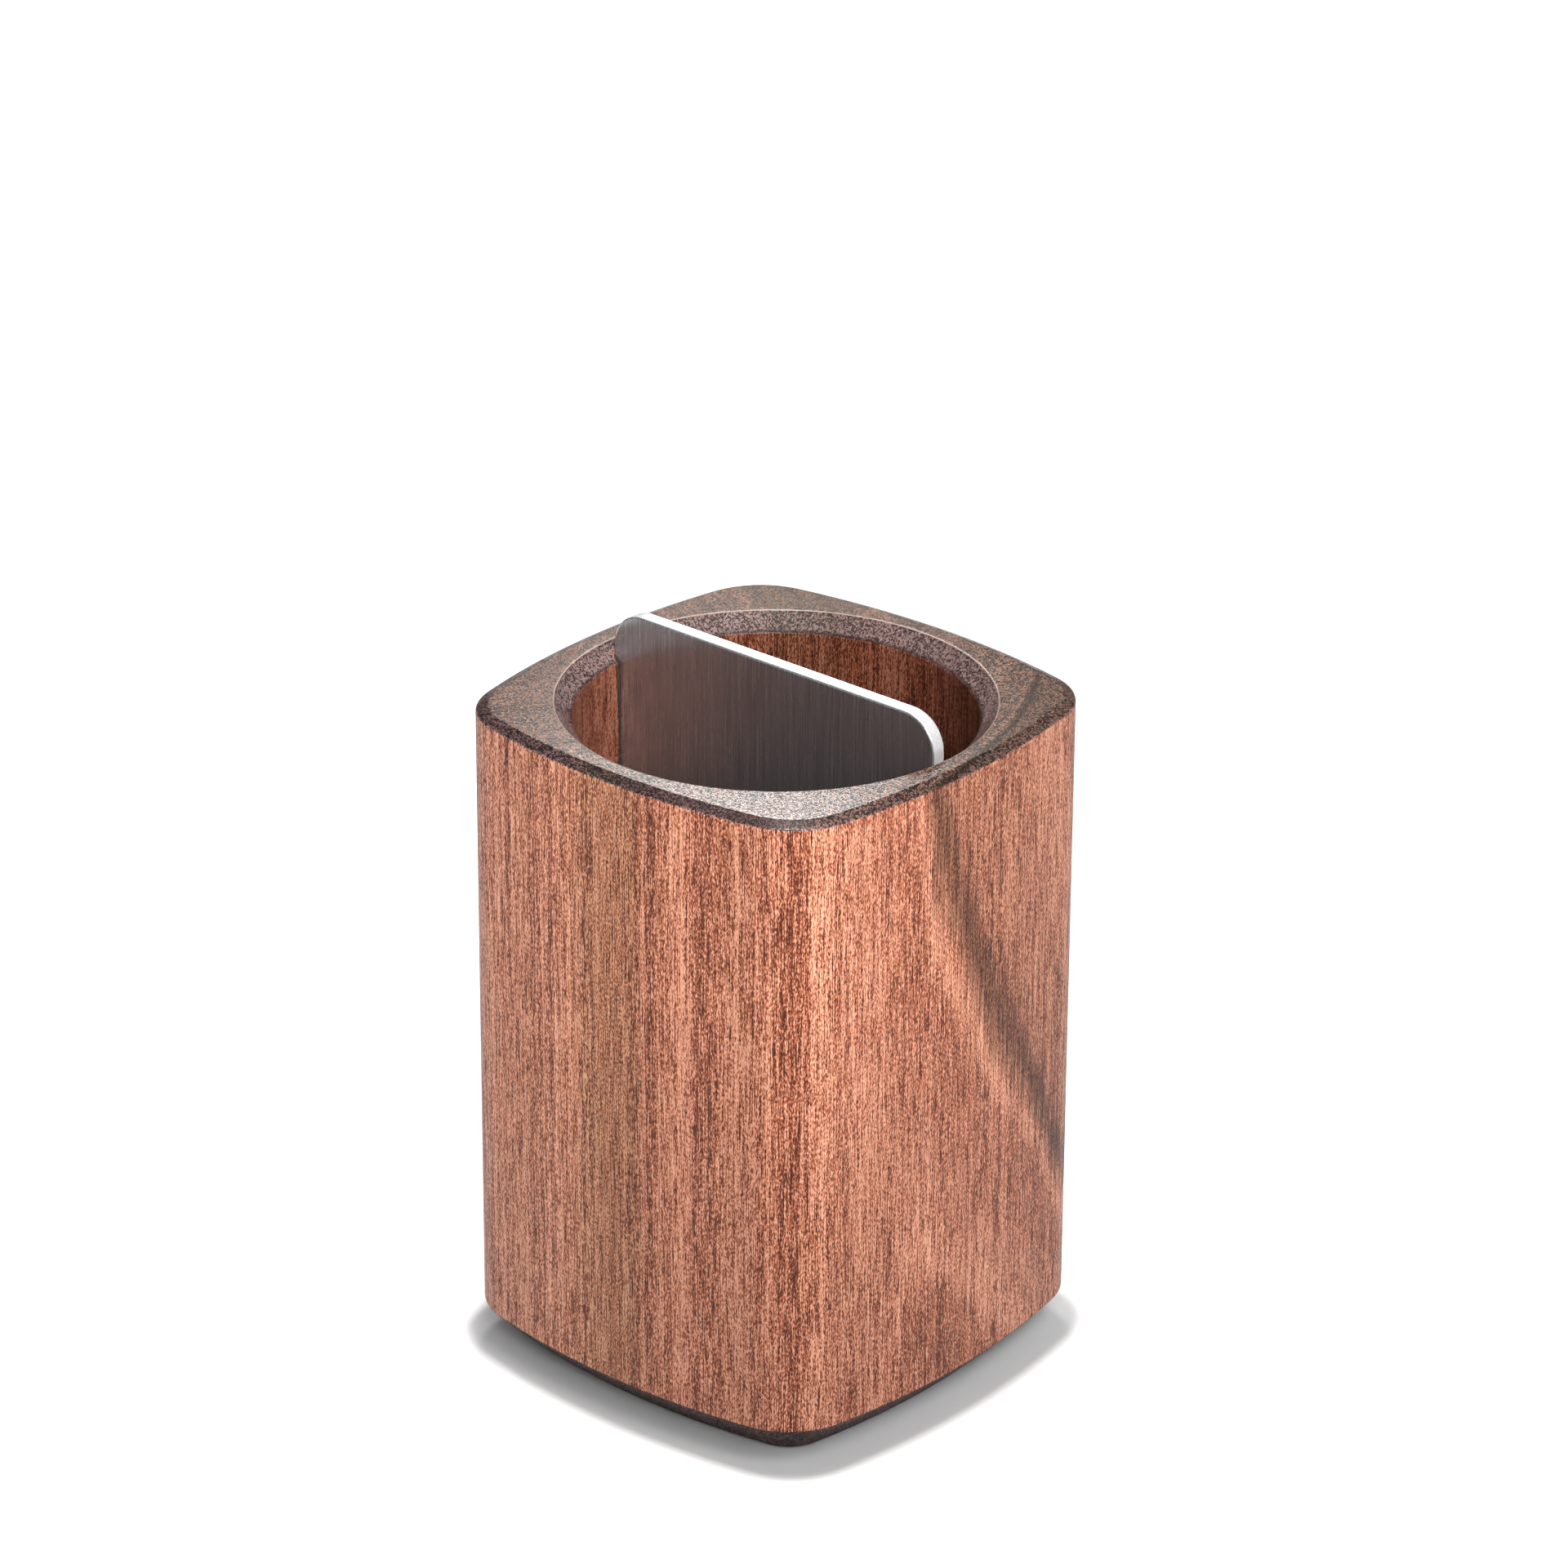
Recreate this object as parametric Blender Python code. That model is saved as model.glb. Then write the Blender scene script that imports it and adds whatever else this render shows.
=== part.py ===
# Desk pen cup: a bored walnut block with a steel divider plate that drops into two grooves.
# Metres, +Z up. The origin is on the desk under the middle of the cup, and the plate runs along X.

import math

import bmesh
import bpy

# Walnut block
BODY_WIDTH = 0.0720          # side middle to side middle
BODY_HEIGHT = 0.1013         # from the wood's lower face to the rim
SIDE_RADIUS = 0.1195         # each side bows out gently, as an arc of this radius
CORNER_RADIUS = 0.0119       # blends one side's arc into the next
RIM_CHAMFER = 0.0018         # taken off the outer edge of the rim, measured inwards
RIM_CHAMFER_DROP = 0.0008    # the same chamfer measured downwards: it is shallow
FOOT_CHAMFER = 0.0058        # 45 degrees, undercuts the block so that it seems to float

# Bore that holds the pens
WALL = 0.0069                # wood between the bore and a side's middle, the thinnest place
MOUTH_CHAMFER = 0.0026       # 45 degrees, eases the bore's upper edge
BORE_FLOOR = 0.0090          # wood left under the bore

# Divider plate and the two grooves that hold it
PLATE_THICKNESS = 0.0024
PLATE_ABOVE_RIM = 0.0056
PLATE_CORNER_RADIUS = 0.0054
PLATE_EDGE_BREAK = 0.0002    # small flat that takes the sharpness off the sheet's edges
GROOVE_DEPTH = 0.0013        # cut into the bore wall at each end of the plate

# Cork pad let into the underside
PAD_PROUD = 0.0005           # the pad stands out of the wood by this much and meets the desk
PAD_RECESS_DEPTH = 0.0015
PAD_MARGIN = 0.0035          # ring of wood left round the pad
PAD_CORNER_RADIUS = 0.0040

# Fits and facets
FIT_CLEARANCE = 0.0003
SIDE_FACETS = 14
CORNER_FACETS = 8
BORE_FACETS = 96
PLATE_CORNER_FACETS = 10
SMOOTH_ANGLE = math.radians(25)

# Sizes and levels that pieces share
BORE_RADIUS = BODY_WIDTH / 2 - WALL
GROOVE_REACH = BORE_RADIUS + GROOVE_DEPTH
PAD_INSET = FOOT_CHAMFER + PAD_MARGIN
WOOD_BOTTOM = PAD_PROUD
BORE_BOTTOM = WOOD_BOTTOM + BORE_FLOOR
RIM = WOOD_BOTTOM + BODY_HEIGHT
PLATE_TOP = RIM + PLATE_ABOVE_RIM


def clear_scene():
    for thing in list(bpy.data.objects):
        bpy.data.objects.remove(thing, do_unlink=True)


def make_material(name, colour, roughness, metallic=0.0):
    material = bpy.data.materials.new(name)
    material.use_nodes = True
    shader = material.node_tree.nodes["Principled BSDF"]
    shader.inputs["Base Color"].default_value = (*colour, 1.0)
    shader.inputs["Roughness"].default_value = roughness
    shader.inputs["Metallic"].default_value = metallic
    return material


def arc(centre, radius, start, end, facets):
    """Points on an arc from start up to, but without, end."""
    points = []
    for step in range(facets):
        angle = start + (end - start) * step / facets
        points.append((centre[0] + radius * math.cos(angle), centre[1] + radius * math.sin(angle)))
    return points


def bowed_square(inset, corner_radius):
    """Plan of the block with its sides moved in by inset: four bowed sides joined by corner arcs."""
    side_radius = SIDE_RADIUS - inset
    side_centre = BODY_WIDTH / 2 - SIDE_RADIUS
    # A corner arc's centre lies on the diagonal, where its circle touches both side circles.
    reach = side_radius - corner_radius
    corner_centre = (side_centre + math.sqrt(2 * reach ** 2 - side_centre ** 2)) / 2
    join = math.atan2(corner_centre, corner_centre - side_centre)
    quarter = arc((side_centre, 0.0), side_radius, -join, join, SIDE_FACETS)
    quarter += arc((corner_centre, corner_centre), corner_radius, join, math.pi / 2 - join, CORNER_FACETS)
    points = []
    for turn in range(4):
        cosine = round(math.cos(turn * math.pi / 2))
        sine = round(math.sin(turn * math.pi / 2))
        points += [(x * cosine - y * sine, x * sine + y * cosine) for x, y in quarter]
    return points


def block_plan(chamfer):
    """Plan of the block where a chamfer has taken this much off all round."""
    return bowed_square(chamfer, CORNER_RADIUS - chamfer)


def bore_plan(flare):
    """Plan of the bore where its mouth has opened by flare."""
    return arc((0.0, 0.0), BORE_RADIUS + flare, 0.0, 2 * math.pi, BORE_FACETS)


def add_object(name, shape):
    mesh = bpy.data.meshes.new(name)
    shape.to_mesh(mesh)
    shape.free()
    thing = bpy.data.objects.new(name, mesh)
    bpy.context.scene.collection.objects.link(thing)
    return thing


def loft(name, sections):
    """Closed solid through (plan, height) sections, lowest first, whose plans have as many points."""
    shape = bmesh.new()
    rings = []
    for plan, height in sections:
        rings.append([shape.verts.new((x, y, height)) for x, y in plan])
    for lower, upper in zip(rings, rings[1:]):
        for here in range(len(lower)):
            after = (here + 1) % len(lower)
            shape.faces.new((lower[here], lower[after], upper[after], upper[here]))
    shape.faces.new(reversed(rings[0]))
    shape.faces.new(rings[-1])
    return add_object(name, shape)


def dress(thing, material):
    thing.data.materials.append(material)
    thing.data.shade_smooth()
    thing.data.set_sharp_from_angle(angle=SMOOTH_ANGLE)


def cut(thing, cutter):
    cutter.hide_render = True
    cutter.display_type = "WIRE"
    modifier = thing.modifiers.new(cutter.name, "BOOLEAN")
    modifier.operation = "DIFFERENCE"
    modifier.solver = "EXACT"
    modifier.object = cutter


def make_cup_body():
    body = loft("cup_body", [
        (block_plan(FOOT_CHAMFER), WOOD_BOTTOM),
        (block_plan(0.0), WOOD_BOTTOM + FOOT_CHAMFER),
        (block_plan(0.0), RIM - RIM_CHAMFER_DROP),
        (block_plan(RIM_CHAMFER), RIM),
    ])
    dress(body, make_material("oiled_walnut", (0.38, 0.14, 0.09), 0.5))

    # The mouth's cone runs on past the rim at the same slope.
    cut(body, loft("bore_cutter", [
        (bore_plan(0.0), BORE_BOTTOM),
        (bore_plan(0.0), RIM - MOUTH_CHAMFER),
        (bore_plan(2 * MOUTH_CHAMFER), RIM + MOUTH_CHAMFER),
    ]))

    groove_half = PLATE_THICKNESS / 2 + FIT_CLEARANCE
    groove_plan = [(-GROOVE_REACH, -groove_half), (GROOVE_REACH, -groove_half),
                   (GROOVE_REACH, groove_half), (-GROOVE_REACH, groove_half)]
    cut(body, loft("groove_cutter", [(groove_plan, BORE_BOTTOM), (groove_plan, PLATE_TOP)]))

    recess_plan = bowed_square(PAD_INSET, PAD_CORNER_RADIUS)
    cut(body, loft("pad_recess_cutter", [
        (recess_plan, WOOD_BOTTOM - PAD_RECESS_DEPTH),
        (recess_plan, WOOD_BOTTOM + PAD_RECESS_DEPTH),
    ]))


def make_divider_plate():
    """Sheet that stands on the bore's floor, with its upper corners rounded for the fingers."""
    half = GROOVE_REACH - FIT_CLEARANCE
    bottom = BORE_BOTTOM + FIT_CLEARANCE
    height = PLATE_TOP - bottom
    radius = PLATE_CORNER_RADIUS
    outline = [(-half, 0.0), (half, 0.0)]
    outline += arc((half - radius, height - radius), radius, 0.0, math.pi / 2, PLATE_CORNER_FACETS)
    outline.append((half - radius, height))
    outline += arc((radius - half, height - radius), radius, math.pi / 2, math.pi, PLATE_CORNER_FACETS)
    outline.append((-half, height - radius))

    shape = bmesh.new()
    face = shape.faces.new([shape.verts.new((x, -PLATE_THICKNESS / 2, z)) for x, z in outline])
    moved = bmesh.ops.extrude_face_region(shape, geom=[face])
    back = [item for item in moved["geom"] if isinstance(item, bmesh.types.BMVert)]
    bmesh.ops.translate(shape, verts=back, vec=(0.0, PLATE_THICKNESS, 0.0))
    bmesh.ops.recalc_face_normals(shape, faces=shape.faces)

    plate = add_object("divider_plate", shape)
    plate.location = (0.0, 0.0, bottom)
    edge_break = plate.modifiers.new("edge_break", "BEVEL")
    edge_break.width = PLATE_EDGE_BREAK
    edge_break.segments = 1
    edge_break.limit_method = "ANGLE"
    edge_break.angle_limit = math.radians(60)
    dress(plate, make_material("brushed_stainless", (0.45, 0.44, 0.44), 0.35, metallic=1.0))


def make_base_pad():
    plan = bowed_square(PAD_INSET + FIT_CLEARANCE, PAD_CORNER_RADIUS - FIT_CLEARANCE)
    pad = loft("base_pad", [
        (plan, 0.0),
        (plan, WOOD_BOTTOM + PAD_RECESS_DEPTH - FIT_CLEARANCE),
    ])
    dress(pad, make_material("cork", (0.47, 0.31, 0.18), 0.9))


clear_scene()
make_cup_body()
make_divider_plate()
make_base_pad()
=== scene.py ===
import math

import bmesh
import bpy
from mathutils import Matrix, Vector


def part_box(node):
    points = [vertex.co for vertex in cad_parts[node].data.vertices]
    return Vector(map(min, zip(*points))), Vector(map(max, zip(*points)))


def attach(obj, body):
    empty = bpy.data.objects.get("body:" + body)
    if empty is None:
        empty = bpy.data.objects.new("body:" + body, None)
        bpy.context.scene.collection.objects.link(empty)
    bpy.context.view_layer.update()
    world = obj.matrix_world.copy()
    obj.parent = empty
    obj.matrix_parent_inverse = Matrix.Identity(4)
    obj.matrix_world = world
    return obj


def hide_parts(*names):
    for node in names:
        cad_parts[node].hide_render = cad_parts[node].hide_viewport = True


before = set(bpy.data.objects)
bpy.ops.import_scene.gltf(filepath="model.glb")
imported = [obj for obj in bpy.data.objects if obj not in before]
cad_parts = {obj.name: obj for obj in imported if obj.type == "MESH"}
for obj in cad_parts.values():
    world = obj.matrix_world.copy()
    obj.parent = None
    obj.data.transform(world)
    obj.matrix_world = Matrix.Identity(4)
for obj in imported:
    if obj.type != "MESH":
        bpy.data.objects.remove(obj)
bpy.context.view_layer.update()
mm = 0.001
inMm = (1 / mm, 1 / mm, 1 / mm)   # turns object coordinates into mm
touching = 0.002 * mm             # points nearer than this are one
scene = bpy.context.scene
print("frame loaded:", ", ".join(sorted(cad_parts)))


def linear(hexColour):
    # sRGB hex to the linear RGBA that shader sockets take
    parts = [int(hexColour[i:i + 2], 16) / 255 for i in (1, 3, 5)]
    return tuple(c / 12.92 if c <= 0.04045 else ((c + 0.055) / 1.055) ** 2.4 for c in parts) + (1.0,)


def addNode(tree, kind, settings=None, links=None):
    # one node: its settings, then each input gets a link or a plain value
    node = tree.nodes.new(kind)
    for name, value in (settings or {}).items():
        if name == "stops":   # places along a colour ramp, each with a hex colour or a grey level
            ramp = node.color_ramp.elements
            while len(ramp) < len(value):
                ramp.new(1.0)
            for stop, (place, colour) in zip(ramp, value):
                stop.position = place
                stop.color = linear(colour) if isinstance(colour, str) else (colour, colour, colour, 1.0)
        elif name == "range":   # from, to and, where it isn't 0 to 1, what they become
            for socket, limit in zip(("From Min", "From Max", "To Min", "To Max"), value):
                node.inputs[socket].default_value = limit
        else:
            setattr(node, name, value)
    for socket, source in (links or {}).items():
        if isinstance(source, bpy.types.NodeSocket):
            tree.links.new(source, node.inputs[socket])
        else:
            node.inputs[socket].default_value = source
    return node


def newMaterial(name):
    material = bpy.data.materials.new(name)
    material.use_nodes = True
    material.node_tree.nodes.clear()
    return material, material.node_tree


# The camera stands where the photograph's fit puts it, unshifted.
view = {
    "place": (562.30, -650.38, 485.42),             # mm
    "yaw": 40.769, "pitch": 24.794, "roll": 0.30,   # degrees
    "lens": 151.95, "sensor": 36.0,                 # mm
    "nearest": 0.01,                                # m
}

cameraData = bpy.data.cameras.new("photoCamera")
cameraData.lens = view["lens"]
cameraData.sensor_width = view["sensor"]
cameraData.clip_start = view["nearest"]
camera = bpy.data.objects.new("photoCamera", cameraData)
camera.matrix_world = (
    Matrix.Translation(Vector(view["place"]) * mm)
    @ Matrix.Rotation(math.radians(view["yaw"]), 4, "Z")
    @ Matrix.Rotation(math.radians(90 - view["pitch"]), 4, "X")
    @ Matrix.Rotation(math.radians(view["roll"]), 4, "Z")
)
scene.collection.objects.link(camera)
scene.camera = camera
print("camera placed")


# Oiled black walnut, sawn from beside the heart and sanded: soft growth bands and short dark dashes along
# the grain, open speckled end grain on top with a low satin sheen, a painted highlight round the mouth's lip,
# a dark rim, and painted shade on the lower sides, on the foot's undercut and inside the bore.
walnutLook = {
    # growth rings, in mm
    "heart": (-44.0, -12.0, 0.0),                         # where they are centred
    "driftSize": (22.0, 22.0, 85.0), "driftDetail": 2.0,  # how slowly they wander
    "drift": 1.6,                                         # and how far
    "ringWidth": 4.6, "ringDetail": 7.0, "ringRoughness": 0.74,
    "leanZone": (-22.0, -5.0),                            # along Y, where the grain starts to lean and bow,
    "lean": 0.104, "bow": -0.00056, "archMiddle": 50.0,   # which draws the arches on the +X side

    # grain noises, long along Z: mm wide, mm long, detail, roughness; the fibres and the vessels are really
    # 0.02 and 0.2 mm wide, and are drawn coarser so that they show
    "grains": {
        "streak": (0.8, 70.0, 2.0, 0.5),
        "fibre": (0.16, 7.0, 3.0, 0.7),
        "fleck": (0.18, 0.5, 1.0, 0.5),   # short dashes
        "speck": (0.34, 0.6, 2.0, 0.7),   # open vessels in the end grain
        "fray": (0.60, 20.0, 3.0, 0.6),   # the lines that tints fray into
    },
    "depths": {"ring": 1.25, "streak": 1.00, "fibre": 3.4, "fleck": 2.8},   # how much each shows in the tone
    "speckDepth": 7.5, "poreDepth": 0.60, "middleTone": 0.56,
    "poreSize": (0.55, 0.55, 8.0),        # mm from pore to pore
    "poreEdge": (0.12, 0.26, 1.0, 0.0),   # a pore's edge, in parts of that

    # colours by tone
    "woods": {
        "side": [(0.0, "#482012"), (0.2, "#743a24"), (0.5, "#a96044"), (0.8, "#cd8768"), (1.0, "#e8ae92")],
        "end": [(0.05, "#050302"), (0.4, "#21160f"), (0.65, "#3b2a20"), (1.0, "#8a6b5a")],
        # the mouth chamfer's speckled end grain, painted paler and greyer for the light and sheen its tilt
        # catches
        "mouth": [(0.0, "#2a1d1b"), (0.4, "#473634"), (0.65, "#574543"), (1.0, "#84706e")],
        # dark tone for the rim chamfer, also painted on the foot's undercut as shade
        "darkRimShadedFoot": [(0.0, "#0a0505"), (0.5, "#1b1011"), (1.0, "#5e4846")],
    },
    "footwardShade": (5.0, 75.0, 0.80, 1.05),    # mm up: painted shade, the sides darken towards the foot as the light falls off
    "lipHighlight": "#927e74",                     # painted highlight along the mouth's upper edge
    "boreShade": "#aca09c",               # painted shade: the bored wall is painted darker, as shade inside the bore,
    "boreDeepShade": "#3a3433",                # and darker still lower down, as deeper shade
    "boreDepth": (64.0, 86.0),            # mm up, where one becomes the other

    # broad tints by ring age: greener heartwood, pinker wood outside it, one dark mineral streak
    "tintAges": (20.0, 95.0), "ragged": 2.2,   # mm
    "tints": [
        (0.00, "#f8f4f2"), (0.15, "#f8f4f2"), (0.21, "#f4f0ec"), (0.27, "#ffffff"), (0.32, "#fcf8f2"),
        (0.36, "#e8eade"), (0.44, "#e4e6da"), (0.468, "#d4d2c4"), (0.49, "#eeeae6"), (0.53, "#f4eeea"),
        (0.556, "#f6f0ec"), (0.58, "#f4ecea"), (0.62, "#ffffff"), (0.635, "#fefaf8"), (0.66, "#eee8e4"),
        (0.70, "#e8e2df"), (0.745, "#f8f2ee"), (0.76, "#fcf6f2"), (0.786, "#fefaf8"), (0.80, "#ece4e0"),
        (0.82, "#f2eae6"), (0.834, "#f6f0ec"), (0.844, "#f0eae6"), (0.849, "#aca496"), (0.858, "#867e72"),
        (0.864, "#d4cec8"), (1.0, "#dcd6d0"),
    ],

    # where each cut lies, by how level its face is and by mm from the axis
    "endFaces": (0.2, 0.6), "levelFaces": (0.74, 0.98), "footFaces": (-0.5, -0.2, 1.0, 0.0),
    "easedFaces": [(0.74, 0.0), (0.84, 1.0), (0.94, 1.0), (0.985, 0.0)],
    "keyLitRimFaces": (0.10, 0.36, 1.0, 0.45),   # the rim's dark tone is painted paler on the +X side, where the key light falls
    "rimRadius": (32.4, 33.2), "boreRadius": (29.3, 29.6, 1.0, 0.0),

    # sheen: the end grain takes more oil and shines more, open pores and the foot stay dull
    "sideRoughness": 0.52, "endRoughness": 0.25, "speckRoughness": (0.42, 0.58, 0.16, -0.06),
    "poreDulling": 0.15, "footDulling": 0.4,
    "ior": 1.45, "specular": 0.3,
    "speckRelief": 4.0, "bump": 0.10, "bumpHeight": 0.06,   # height in mm
}


def makeWalnut(look):
    material, tree = newMaterial("oiledWalnutSanded")
    place = addNode(tree, "ShaderNodeTexCoord")
    grain = addNode(tree, "ShaderNodeMapping", links={"Vector": place.outputs["Object"], "Scale": inMm})
    axes = addNode(tree, "ShaderNodeSeparateXYZ", links={0: grain.outputs[0]})

    # growth rings: distance from the heart, leaning and wandering
    slow = addNode(tree, "ShaderNodeVectorMath", {"operation": "DIVIDE"}, {
        0: grain.outputs[0], 1: look["driftSize"]})
    drift = addNode(tree, "ShaderNodeTexNoise", links={
        "Vector": slow.outputs[0], "Scale": 1.0, "Detail": look["driftDetail"]})
    leanHere = addNode(tree, "ShaderNodeMapRange", {
        "interpolation_type": "SMOOTHSTEP", "range": look["leanZone"]}, {"Value": axes.outputs["Y"]})
    height = addNode(tree, "ShaderNodeMath", {"operation": "SUBTRACT"}, {
        0: axes.outputs["Z"], 1: look["archMiddle"]})
    slope = addNode(tree, "ShaderNodeMath", {"operation": "MULTIPLY_ADD"}, {
        0: height.outputs[0], 1: look["bow"], 2: look["lean"]})
    arch = addNode(tree, "ShaderNodeMath", {"operation": "MULTIPLY"}, {
        0: slope.outputs[0], 1: height.outputs[0]})
    leaned = addNode(tree, "ShaderNodeMath", {"operation": "MULTIPLY"}, {
        0: leanHere.outputs[0], 1: arch.outputs[0]})
    fromHeart = addNode(tree, "ShaderNodeVectorMath", {"operation": "SUBTRACT"}, {
        0: grain.outputs[0], 1: look["heart"]})
    level = addNode(tree, "ShaderNodeVectorMath", {"operation": "MULTIPLY"}, {
        0: fromHeart.outputs[0], 1: (1, 1, 0)})
    reach = addNode(tree, "ShaderNodeVectorMath", {"operation": "LENGTH"}, {0: level.outputs[0]})
    age = addNode(tree, "ShaderNodeMath", {"operation": "ADD"}, {
        0: reach.outputs["Value"], 1: leaned.outputs[0]})
    wander = addNode(tree, "ShaderNodeMath", {"operation": "MULTIPLY_ADD"}, {
        0: drift.outputs[0], 1: look["drift"], 2: age.outputs[0]})

    # the rings and the grain noises, and how far each is from its middle
    ringPlace = addNode(tree, "ShaderNodeMath", {"operation": "DIVIDE"}, {
        0: wander.outputs[0], 1: look["ringWidth"]})
    noises = {"ring": addNode(tree, "ShaderNodeTexNoise", {"noise_dimensions": "1D"}, {
        "W": ringPlace.outputs[0], "Scale": 1.0,
        "Detail": look["ringDetail"], "Roughness": look["ringRoughness"]})}
    for name, (width, length, detail, roughness) in look["grains"].items():
        stretched = addNode(tree, "ShaderNodeVectorMath", {"operation": "DIVIDE"}, {
            0: grain.outputs[0], 1: (width, width, length)})
        noises[name] = addNode(tree, "ShaderNodeTexNoise", links={
            "Vector": stretched.outputs[0], "Scale": 1.0, "Detail": detail, "Roughness": roughness})
    swings = {}
    for name, noise in noises.items():
        swings[name] = addNode(tree, "ShaderNodeMath", {"operation": "SUBTRACT"}, {
            0: noise.outputs[0], 1: 0.5})

    # tone: dark pores, then rings, streaks, fibres and flecks; specks only where the grain is cut across
    poreSpace = addNode(tree, "ShaderNodeVectorMath", {"operation": "DIVIDE"}, {
        0: grain.outputs[0], 1: look["poreSize"]})
    poreCells = addNode(tree, "ShaderNodeTexVoronoi", links={
        "Vector": poreSpace.outputs[0], "Scale": 1.0, "Randomness": 1.0})
    pores = addNode(tree, "ShaderNodeMapRange", {
        "interpolation_type": "SMOOTHSTEP", "range": look["poreEdge"]}, {
        "Value": poreCells.outputs["Distance"]})
    tone = addNode(tree, "ShaderNodeMath", {"operation": "MULTIPLY_ADD"}, {
        0: pores.outputs[0], 1: -look["poreDepth"], 2: look["middleTone"]})
    for name, depth in look["depths"].items():
        tone = addNode(tree, "ShaderNodeMath", {"operation": "MULTIPLY_ADD"}, {
            0: swings[name].outputs[0], 1: depth, 2: tone.outputs[0]})
    endTone = addNode(tree, "ShaderNodeMath", {"operation": "MULTIPLY_ADD"}, {
        0: swings["speck"].outputs[0], 1: look["speckDepth"], 2: tone.outputs[0]})
    woods = {}
    for name, stops in look["woods"].items():
        woods[name] = addNode(tree, "ShaderNodeValToRGB", {"stops": stops}, {
            0: (tone if name == "side" else endTone).outputs[0]})
    # painted shade: the side wood darkens towards the foot, where less light reaches
    shadeByHeight = addNode(tree, "ShaderNodeMapRange", {"range": look["footwardShade"]}, {"Value": axes.outputs["Z"]})
    sideShaded = addNode(tree, "ShaderNodeVectorMath", {"operation": "SCALE"}, {
        0: woods["side"].outputs[0], "Scale": shadeByHeight.outputs[0]})

    # tints by ring age, pushed about so that each one frays into lines
    tintAge = addNode(tree, "ShaderNodeMath", {"operation": "MULTIPLY_ADD"}, {
        0: swings["fray"].outputs[0], 1: look["ragged"], 2: wander.outputs[0]})
    tintPlace = addNode(tree, "ShaderNodeMapRange", {"range": look["tintAges"]}, {
        "Value": tintAge.outputs[0]})
    tint = addNode(tree, "ShaderNodeValToRGB", {"stops": look["tints"]}, {0: tintPlace.outputs[0]})

    # where the faces are cut across the grain, and where these are rim, lip highlight or shaded foot
    facing = addNode(tree, "ShaderNodeNewGeometry")
    tilt = addNode(tree, "ShaderNodeSeparateXYZ", links={0: facing.outputs["Normal"]})
    steep = addNode(tree, "ShaderNodeMath", {"operation": "ABSOLUTE"}, {0: tilt.outputs["Z"]})
    onEnd = addNode(tree, "ShaderNodeMapRange", {
        "interpolation_type": "SMOOTHSTEP", "range": look["endFaces"]}, {"Value": steep.outputs[0]})
    onLevel = addNode(tree, "ShaderNodeMapRange", {"range": look["levelFaces"]}, {"Value": steep.outputs[0]})
    onEased = addNode(tree, "ShaderNodeValToRGB", {"stops": look["easedFaces"]}, {0: steep.outputs[0]})
    plan = addNode(tree, "ShaderNodeVectorMath", {"operation": "MULTIPLY"}, {
        0: grain.outputs[0], 1: (1, 1, 0)})
    outwards = addNode(tree, "ShaderNodeVectorMath", {"operation": "LENGTH"}, {0: plan.outputs[0]})
    outside = addNode(tree, "ShaderNodeMapRange", {"range": look["rimRadius"]}, {
        "Value": outwards.outputs["Value"]})
    onRim = addNode(tree, "ShaderNodeMath", {"operation": "MULTIPLY"}, {
        0: onEased.outputs[0], 1: outside.outputs[0]})
    # the mouth's upper arris, painted pale as a highlight
    onLipHighlight = addNode(tree, "ShaderNodeMath", {"operation": "SUBTRACT"}, {
        0: onEased.outputs[0], 1: onRim.outputs[0]})
    # painted light: the rim's dark tone fades on faces turned to +X, towards the key
    rimDarkLessWhereLit = addNode(tree, "ShaderNodeMapRange", {"range": look["keyLitRimFaces"]}, {"Value": tilt.outputs["X"]})
    darkRim = addNode(tree, "ShaderNodeMath", {"operation": "MULTIPLY"}, {
        0: onRim.outputs[0], 1: rimDarkLessWhereLit.outputs[0]})
    # the foot's undercut faces down and takes the dark tone as painted shade
    onFoot = addNode(tree, "ShaderNodeMapRange", {"range": look["footFaces"]}, {"Value": tilt.outputs["Z"]})
    onDarkRimShadedFoot = addNode(tree, "ShaderNodeMath", {"operation": "MAXIMUM"}, {
        0: darkRim.outputs[0], 1: onFoot.outputs[0]})
    inBore = addNode(tree, "ShaderNodeMapRange", {"range": look["boreRadius"]}, {
        "Value": outwards.outputs["Value"]})
    shallow = addNode(tree, "ShaderNodeMapRange", {
        "interpolation_type": "SMOOTHSTEP", "range": look["boreDepth"]}, {"Value": axes.outputs["Z"]})

    # colour: one wood over another, the foot's painted shade among them, then the tints and the bore's
    # painted shade
    across = addNode(tree, "ShaderNodeMix", {"data_type": "RGBA"}, {
        0: onLevel.outputs[0], 6: woods["mouth"].outputs[0], 7: woods["end"].outputs[0]})
    lipHighlighted = addNode(tree, "ShaderNodeMix", {"data_type": "RGBA"}, {
        0: onLipHighlight.outputs[0], 6: across.outputs[2], 7: linear(look["lipHighlight"])})
    ended = addNode(tree, "ShaderNodeMix", {"data_type": "RGBA"}, {
        0: onEnd.outputs[0], 6: sideShaded.outputs[0], 7: lipHighlighted.outputs[2]})
    darkRimShadedFoot = addNode(tree, "ShaderNodeMix", {"data_type": "RGBA"}, {
        0: onDarkRimShadedFoot.outputs[0], 6: ended.outputs[2], 7: woods["darkRimShadedFoot"].outputs[0]})
    tinted = addNode(tree, "ShaderNodeMix", {"data_type": "RGBA", "blend_type": "MULTIPLY"}, {
        0: 1.0, 6: darkRimShadedFoot.outputs[2], 7: tint.outputs[0]})
    # painted shade inside the bore, darker lower down
    boreShadeTint = addNode(tree, "ShaderNodeMix", {"data_type": "RGBA"}, {
        0: shallow.outputs[0], 6: linear(look["boreDeepShade"]), 7: linear(look["boreShade"])})
    colour = addNode(tree, "ShaderNodeMix", {"data_type": "RGBA", "blend_type": "MULTIPLY"}, {
        0: inBore.outputs[0], 6: tinted.outputs[2], 7: boreShadeTint.outputs[2]})

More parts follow.
